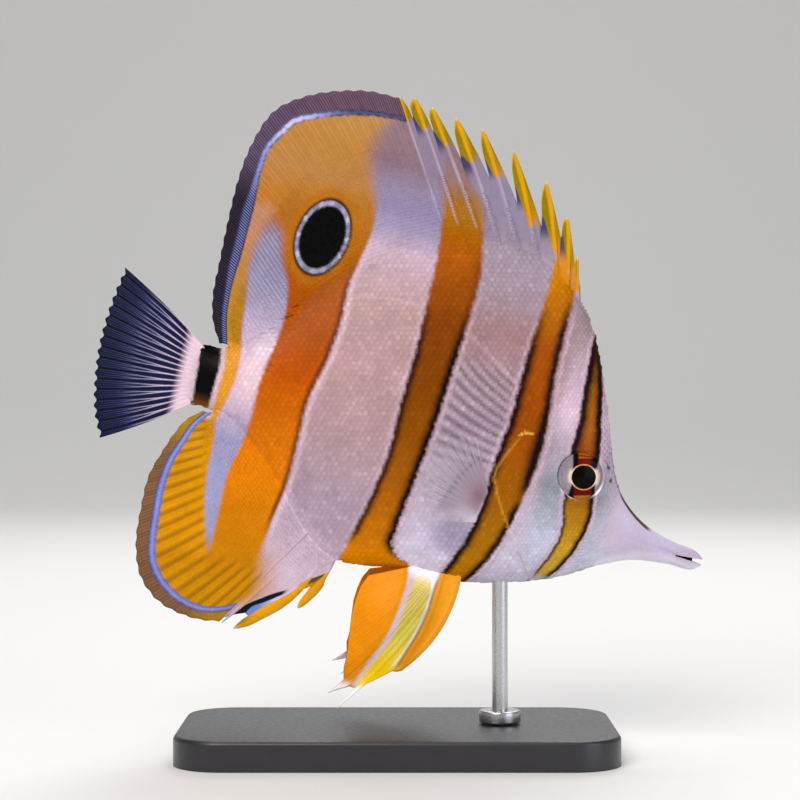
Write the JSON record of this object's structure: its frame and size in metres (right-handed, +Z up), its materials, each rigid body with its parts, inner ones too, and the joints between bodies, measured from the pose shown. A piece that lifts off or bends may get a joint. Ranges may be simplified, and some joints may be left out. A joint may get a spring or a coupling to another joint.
{
  "type": "copperband butterflyfish, still model on a display stand",
  "caption": "Life-size still model of a copperband butterflyfish swimming head down, with spread fins and a long snout, held over a flat base by one rod.",
  "frame": {"origin": "centre of the whole model's bounding box in plan, on the underside of the base", "axes": "+X towards the fish's snout, +Y to the fish's left, +Z up"},
  "size_m": [0.1463, 0.058, 0.1589],
  "materials": {
    "skin": "moist scaled skin, pale with copper-orange bands",
    "fin": "rayed fin, copper-orange and pale",
    "clear_fin": "thin rayed fin, bluish and partly clear",
    "eye": "wet, glossy",
    "stand_base": "satin charcoal paint",
    "stand_rod": "fine brushed"
  },
  "bodies": {
    "root": {"head": "skin", "trunk": "skin", "tail_stalk": "skin", "upper_jaw": "skin", "lower_jaw": "skin", "gill_cover_right": "skin", "gill_cover_left": "skin", "eye_right": "eye", "eye_left": "eye", "back_fin_spines": "fin", "back_fin_soft": "fin", "anal_fin_spines": "fin", "anal_fin_soft": "fin", "pelvic_fin_right": "fin", "pelvic_fin_left": "fin", "tail_fin": "clear_fin", "pectoral_fin_right": "clear_fin", "pectoral_fin_left": "clear_fin", "stand_base": "stand_base", "stand_rod": "stand_rod", "stand_collar": "stand_rod"}
  },
  "joints": []
}
